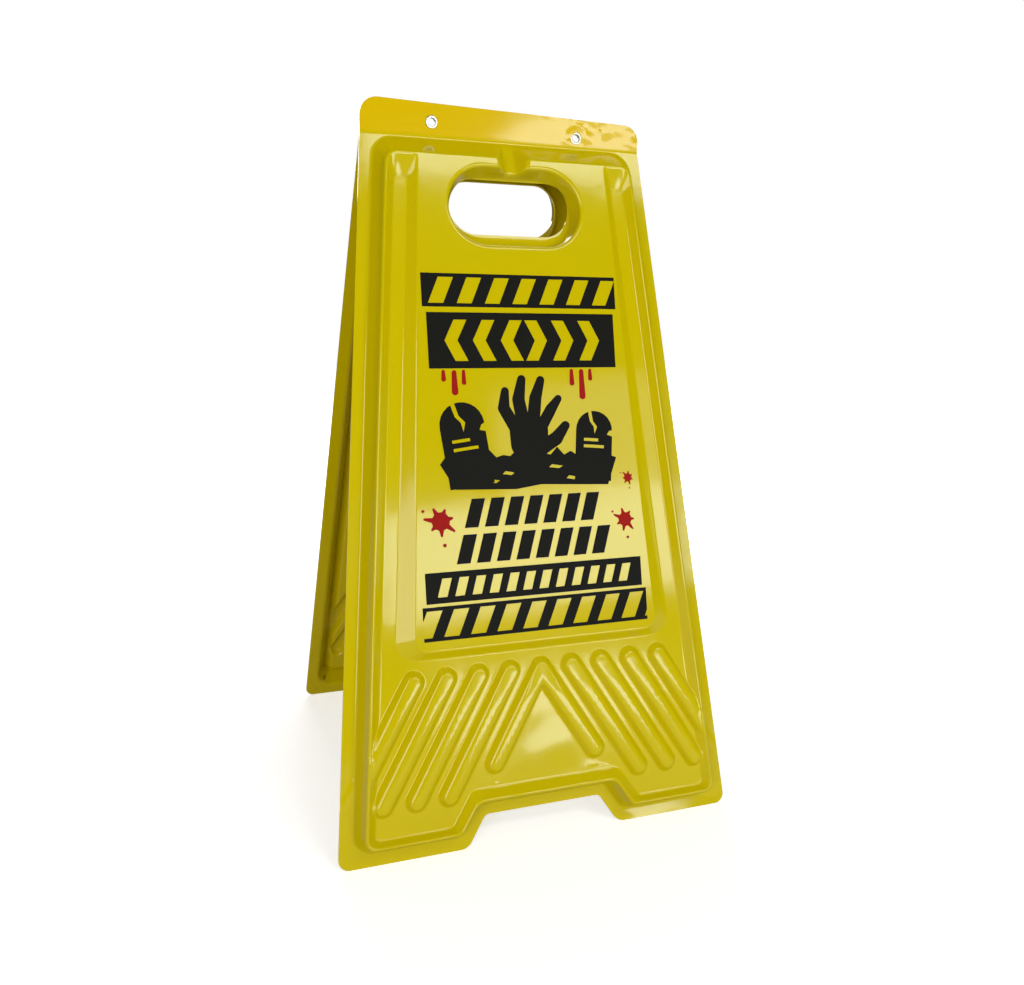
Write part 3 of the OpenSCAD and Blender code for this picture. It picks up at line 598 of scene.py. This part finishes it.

# %% [markdown]
# ## The yellow sheet
# High-impact polystyrene, dyed through and formed on a warm mould. The face that didn't
# touch the mould keeps the extruder's gloss, with a faint ripple some centimetres long and
# a finer orange peel of a few millimetres. Its refractive index is 1.59, and 1.5 matches
# the strength of the glare here. The flat band is given a deeper and brighter yellow than
# the leaf below it, so the colour changes with the height, at the crease: partly the tone of
# the less stretched sheet, partly painted light, as the upright band catches more light.

# %% Yellow polystyrene
def yellow_sheet():
    material, tree = new_material("high_impact_polystyrene_yellow")
    place = add_node(tree, "ShaderNodeTexCoord").outputs["Object"]
    ripple = add_node(tree, "ShaderNodeTexNoise", Vector=place, Scale=26.0, Detail=2.0, Roughness=0.5)
    peel = add_node(tree, "ShaderNodeTexNoise", Vector=place, Scale=240.0, Detail=2.0, Roughness=0.6)
    cloud = add_node(tree, "ShaderNodeTexNoise", Vector=place, Scale=9.0, Detail=3.0, Roughness=0.6)
    tint = add_node(tree, "ShaderNodeMix", {"data_type": "RGBA"}, Factor=cloud.outputs["Fac"])
    tint.inputs["A"].default_value = linear("#D0BB00")
    tint.inputs["B"].default_value = linear("#D6C100")
    # painted light and tone: above the crease the band is painted a brighter, deeper yellow
    height = add_node(tree, "ShaderNodeSeparateXYZ", Vector=place).outputs["Z"]
    above = add_node(tree, "ShaderNodeMapRange", {"interpolation_type": "SMOOTHSTEP"}, Value=height)
    above.inputs["From Min"].default_value = (crease_z - 4) / 1000
    above.inputs["From Max"].default_value = (crease_z + 5) / 1000
    band_tone_and_light = add_node(tree, "ShaderNodeMix", {"data_type": "RGBA"}, Factor=above.outputs["Result"])
    tree.links.new(tint.outputs["Result"], band_tone_and_light.inputs["A"])
    band_tone_and_light.inputs["B"].default_value = linear("#E5C000")
    gloss = add_node(tree, "ShaderNodeMapRange", Value=cloud.outputs["Fac"])
    gloss.inputs["From Min"].default_value, gloss.inputs["From Max"].default_value = 0.35, 0.7
    gloss.inputs["To Min"].default_value, gloss.inputs["To Max"].default_value = 0.08, 0.11
    wave = add_node(tree, "ShaderNodeBump", Height=ripple.outputs["Fac"], Strength=0.25, Distance=0.0006)
    skin = add_node(tree, "ShaderNodeBump", Height=peel.outputs["Fac"], Strength=0.12, Distance=0.0001)
    tree.links.new(wave.outputs["Normal"], skin.inputs["Normal"])
    shader = add_node(tree, "ShaderNodeBsdfPrincipled", Base_Color=band_tone_and_light.outputs["Result"],
                      Roughness=gloss.outputs["Result"], IOR=1.5, Normal=skin.outputs["Normal"])
    add_node(tree, "ShaderNodeOutputMaterial", Surface=shader.outputs["BSDF"])
    return material


sheet_material = yellow_sheet()
folded = ((front_sheet, "front_leaf", "front_top_band"), (rear_sheet, "rear_leaf", "rear_top_band"))
for sheet, leaf, band in folded:
    sheet.data.materials.append(sheet_material)
    side = -1 if leaf == "front_leaf" else 1
    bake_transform(sheet)
    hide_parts(leaf, band)
    print(sheet.name, "stands for", leaf, "and", band)

# %% [markdown]
# ## The printed ink
# Screen-printed vinyl ink lies on the panel as a thin satin film. It is a flat shape with
# sharp sides, which the solid model already has, so both inks keep their CAD meshes and
# only get their finish: duller than the sheet, with a little mottle in the gloss.

# %% Black and red ink
def ink(name, dark, light, rough):
    material, tree = new_material(name)
    place = add_node(tree, "ShaderNodeTexCoord").outputs["Object"]
    ripple = add_node(tree, "ShaderNodeTexNoise", Vector=place, Scale=26.0, Detail=2.0, Roughness=0.5)
    mottle = add_node(tree, "ShaderNodeTexNoise", Vector=place, Scale=150.0, Detail=3.0, Roughness=0.6)
    tint = add_node(tree, "ShaderNodeMix", {"data_type": "RGBA"}, Factor=mottle.outputs["Fac"])
    tint.inputs["A"].default_value = linear(dark)
    tint.inputs["B"].default_value = linear(light)
    gloss = add_node(tree, "ShaderNodeMapRange", Value=mottle.outputs["Fac"])
    gloss.inputs["To Min"].default_value, gloss.inputs["To Max"].default_value = rough - 0.05, rough + 0.07
    wave = add_node(tree, "ShaderNodeBump", Height=ripple.outputs["Fac"], Strength=0.25, Distance=0.0006)
    shader = add_node(tree, "ShaderNodeBsdfPrincipled", Base_Color=tint.outputs["Result"],
                      Roughness=gloss.outputs["Result"], Specular_IOR_Level=0.12,
                      Normal=wave.outputs["Normal"])
    add_node(tree, "ShaderNodeOutputMaterial", Surface=shader.outputs["BSDF"])
    return material


inks = {"print_black": ink("screen_ink_black", "#0D0C0B", "#151311", 0.5),
        "print_red": ink("screen_ink_red", "#9A0A08", "#AA120C", 0.5)}
for node, material in inks.items():
    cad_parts[node].data.materials.clear()
    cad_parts[node].data.materials.append(material)
print("inks on", sorted(inks))

# %% [markdown]
# ## The hollow rivets
# Two nickel-plated hollow rivets clamp the bands. Each is a short tube whose ends are
# pressed outwards into a flat lip with soft edges. They are alike, so a Geometry Nodes tree
# draws one and sets a copy on each hole: the section of a lip and a thin wall are swept
# round a circle. The left one sits a little askew, as a hand press leaves it.

# %% Rivets by Geometry Nodes
def nickel():
    material, tree = new_material("nickel_plated_steel")
    place = add_node(tree, "ShaderNodeTexCoord").outputs["Object"]
    haze = add_node(tree, "ShaderNodeTexNoise", Vector=place, Scale=900.0, Detail=3.0, Roughness=0.6)
    tint = add_node(tree, "ShaderNodeMix", {"data_type": "RGBA"}, Factor=haze.outputs["Fac"])
    tint.inputs["A"].default_value = linear("#B9B4A8")
    tint.inputs["B"].default_value = linear("#D2CEC4")
    gloss = add_node(tree, "ShaderNodeMapRange", Value=haze.outputs["Fac"])
    gloss.inputs["To Min"].default_value, gloss.inputs["To Max"].default_value = 0.2, 0.35
    shader = add_node(tree, "ShaderNodeBsdfPrincipled", Base_Color=tint.outputs["Result"],
                      Roughness=gloss.outputs["Result"], Metallic=1.0)
    add_node(tree, "ShaderNodeOutputMaterial", Surface=shader.outputs["BSDF"])
    return material


nickel_material = nickel()


def rivet_tree():
    tree = bpy.data.node_groups.new("hollow_rivets", "GeometryNodeTree")
    tree.interface.new_socket("Geometry", in_out="OUTPUT", socket_type="NodeSocketGeometry")
    for name, value in (("Bore radius", 0.0032), ("Head radius", 0.0052), ("Head height", 0.0009),
                        ("Wall", 0.0005), ("Stack", 0.003), ("Pitch", 0.13), ("Drop", 0.0037), ("Tilt", 0.07)):
        socket = tree.interface.new_socket(name, in_out="INPUT", socket_type="NodeSocketFloat")
        socket.default_value = value
    given = add_node(tree, "NodeGroupInput").outputs

    def calc(kind, a, b=0.0):
        return add_node(tree, "ShaderNodeMath", {"operation": kind}, _0=a, _1=b).outputs[0]

    lip_w = calc("SUBTRACT", given["Head radius"], given["Bore radius"])
    path_r = calc("ADD", given["Bore radius"], calc("MULTIPLY", lip_w, 0.5))
    lip_path = add_node(tree, "GeometryNodeCurvePrimitiveCircle", {"mode": "RADIUS"}, Resolution=64,
                        Radius=path_r)
    lip = add_node(tree, "GeometryNodeCurvePrimitiveQuadrilateral", Width=lip_w, Height=given["Head height"])
    soft_lip = add_node(tree, "GeometryNodeFilletCurve", {"mode": "POLY"}, Curve=lip.outputs[0], Count=6,
                        Radius=calc("MULTIPLY", given["Head height"], 0.48))
    swept = add_node(tree, "GeometryNodeCurveToMesh", Curve=lip_path.outputs[0],
                     Profile_Curve=soft_lip.outputs[0])
    half_stack = calc("MULTIPLY", calc("ADD", given["Stack"], given["Head height"]), 0.5)
    up = add_node(tree, "ShaderNodeCombineXYZ", Z=half_stack)
    upper = add_node(tree, "GeometryNodeTransform", Geometry=swept.outputs[0], Translation=up.outputs[0])
    lower = add_node(tree, "GeometryNodeTransform", Geometry=upper.outputs[0], Rotation=(math.pi, 0, 0))
    wall_r = calc("ADD", given["Bore radius"], calc("MULTIPLY", given["Wall"], 0.5))
    wall_path = add_node(tree, "GeometryNodeCurvePrimitiveCircle", {"mode": "RADIUS"}, Resolution=64,
                         Radius=wall_r)
    section = add_node(tree, "GeometryNodeCurvePrimitiveQuadrilateral", Width=given["Wall"],
                       Height=given["Stack"])
    barrel = add_node(tree, "GeometryNodeCurveToMesh", Curve=wall_path.outputs[0],
                      Profile_Curve=section.outputs[0])
    one = add_node(tree, "GeometryNodeJoinGeometry")
    for part in (upper, lower, barrel):
        tree.links.new(part.outputs[0], one.inputs[0])
    smooth = add_node(tree, "GeometryNodeSetShadeSmooth", Geometry=one.outputs[0])
    half = calc("MULTIPLY", given["Pitch"], 0.5)
    left = add_node(tree, "ShaderNodeCombineXYZ", X=calc("MULTIPLY", half, -1.0))
    step = add_node(tree, "ShaderNodeCombineXYZ", X=given["Pitch"], Z=calc("MULTIPLY", given["Drop"], -1.0))
    row = add_node(tree, "GeometryNodeMeshLine", {"mode": "OFFSET"}, Count=2, Start_Location=left.outputs[0],
                   Offset=step.outputs[0])
    first = calc("SUBTRACT", 1.0, add_node(tree, "GeometryNodeInputIndex").outputs[0])
    turn = calc("ADD", math.pi / 2, calc("MULTIPLY", first, given["Tilt"]))
    set_in = add_node(tree, "ShaderNodeCombineXYZ", X=turn)
    both = add_node(tree, "GeometryNodeInstanceOnPoints", Points=row.outputs[0], Instance=smooth.outputs[0],
                    Rotation=set_in.outputs[0])
    real = add_node(tree, "GeometryNodeRealizeInstances", Geometry=both.outputs[0])
    dressed = add_node(tree, "GeometryNodeSetMaterial", Geometry=real.outputs[0], Material=nickel_material)
    add_node(tree, "NodeGroupOutput", Geometry=dressed.outputs[0])
    return tree


def made_real(name, tree, at):
    """The result of a Geometry Nodes tree as a plain mesh, moved to its place."""
    holder = bpy.data.objects.new(name + "_maker", bpy.data.meshes.new(name + "_maker"))
    bpy.context.scene.collection.objects.link(holder)
    modifier = holder.modifiers.new("nodes", "NODES")
    modifier.node_group = tree
    graph = bpy.context.evaluated_depsgraph_get()
    mesh = bpy.data.meshes.new_from_object(holder.evaluated_get(graph))
    bpy.data.objects.remove(holder)
    mesh.transform(Matrix.Translation(at))
    piece = bpy.data.objects.new(name, mesh)
    bpy.context.scene.collection.objects.link(piece)
    return piece


rivets = made_real("hollow_rivets", rivet_tree(), (0, 0, (crease_z + rivet_left_up) / 1000))
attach(rivets, "top_band")
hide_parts("left_rivet", "right_rivet")
print("rivets:", len(rivets.data.polygons), "faces, box", [round(c, 4) for c in rivets.dimensions])

# %% [markdown]
# ## Floor and background
# The photograph is a cut-out on white. A plain pale floor takes the sign's soft shadow, and
# further out it glows up to pure white for the camera, so that it meets the white world
# without a horizon. Neither glow lights the sign.

# %% Floor and world
def floor_material():
    material, tree = new_material("pale_floor")
    path = add_node(tree, "ShaderNodeLightPath")
    place = add_node(tree, "ShaderNodeTexCoord").outputs["Object"]
    reach = add_node(tree, "ShaderNodeVectorMath", {"operation": "LENGTH"}, _0=place).outputs["Value"]
    ramp = add_node(tree, "ShaderNodeMapRange", {"interpolation_type": "SMOOTHSTEP"}, Value=reach)
    ramp.inputs["From Min"].default_value, ramp.inputs["From Max"].default_value = 0.25, 0.8
    ramp.inputs["To Min"].default_value, ramp.inputs["To Max"].default_value = 0.58, 1.0
    matt = add_node(tree, "ShaderNodeBsdfDiffuse", Color=linear("#F0F1F4"))
    dull = add_node(tree, "ShaderNodeBsdfDiffuse", Color=linear("#D0D0D0"))
    glow = add_node(tree, "ShaderNodeEmission", Color=(1, 1, 1, 1), Strength=ramp.outputs["Result"])
    both = add_node(tree, "ShaderNodeAddShader", _0=matt.outputs[0], _1=glow.outputs[0])
    seen = add_node(tree, "ShaderNodeMixShader", _0=path.outputs["Is Camera Ray"], _1=dull.outputs[0],
                    _2=both.outputs[0])
    add_node(tree, "ShaderNodeOutputMaterial", Surface=seen.outputs[0])
    return material


floor_mesh = bpy.data.meshes.new("floor")
floor_half = 4
corners = [(x * floor_half, y * floor_half, 0) for x, y in ((-1, -1), (1, -1), (1, 1), (-1, 1))]
floor_mesh.from_pydata(corners, [], [(0, 1, 2, 3)])
floor_mesh.materials.append(floor_material())
floor = bpy.data.objects.new("floor", floor_mesh)
bpy.context.scene.collection.objects.link(floor)

world = bpy.data.worlds.new("studio")
bpy.context.scene.world = world
world.use_nodes = True
sky = world.node_tree
sky.nodes.clear()
paths = add_node(sky, "ShaderNodeLightPath")
room = add_node(sky, "ShaderNodeBackground", Color=linear("#FFF8E4"), Strength=0.26)
dark = add_node(sky, "ShaderNodeBackground", Color=linear("#FFF8E4"), Strength=0.03)
white = add_node(sky, "ShaderNodeBackground", Color=(1, 1, 1, 1), Strength=1.0)
unlit = add_node(sky, "ShaderNodeMixShader", _0=paths.outputs["Is Glossy Ray"], _1=room.outputs[0],
                 _2=dark.outputs[0])
mixed = add_node(sky, "ShaderNodeMixShader", _0=paths.outputs["Is Camera Ray"], _1=unlit.outputs[0],
                 _2=white.outputs[0])
add_node(sky, "ShaderNodeOutputWorld", Surface=mixed.outputs[0])
print("floor of 8 m by 8 m under a white world")

# %% [markdown]
# ## Light
# The glossy sheet shows where the lamps of the photograph were: a line of sight that is
# mirrored on it either meets one or doesn't. Followed like that, the glare on the lower
# half comes from a broad window in front on the right, with a strip of light low under it
# for the chevron and a paler part above it for the band. The two patches beside the grip
# come from a panel overhead. A weak panel lights the walls on the left, and another one
# stands behind the sign, where the photograph doesn't look, to show the rear leaf.

# %% Soft boxes
def soft_box(name, place, aim, width, height, radiance, colour="#FFFFFF"):
    data = bpy.data.lights.new(name, "AREA")
    data.shape, data.size, data.size_y = "RECTANGLE", width, height
    data.energy = radiance * math.pi * width * height
    data.color = linear(colour)[:3]
    lamp = bpy.data.objects.new(name, data)
    lamp.location = place
    lamp.rotation_euler = (Vector(place) - Vector(aim)).to_track_quat("Z", "Y").to_euler()
    bpy.context.scene.collection.objects.link(lamp)


daylight = "#F7FFF3"
soft_box("window_front", (0.70, -2.085, 0.635), (0.022, 0.0, 0.635), 1.06, 0.37, 6.5, daylight)
soft_box("window_upper", (0.908, -2.018, 1.02), (0.18, 0.05, 1.02), 0.6, 0.38, 1.6, daylight)
soft_box("glint_low", (0.675, -2.09, 0.145), (0.0, 0.0, 0.145), 0.72, 0.22, 7.0, daylight)
soft_box("panel_overhead", (0.75, -1.62, 1.97), (0.75, -0.77, 0.5), 1.1, 0.4, 6.8, daylight)
soft_box("fill_left", (-1.4, -2.2, 0.9), (0, -0.1, 0.3), 1.4, 1.4, 3.9)
soft_box("fill_back", (0.3, 2.3, 1.35), (0, 0.1, 0.3), 1.7, 1.2, 5.0)

# %% [markdown]
# ## Look settings and the end
# The Standard view transform shows colours as they are written.

# %% Finish
bpy.context.scene.view_settings.view_transform = "Standard"
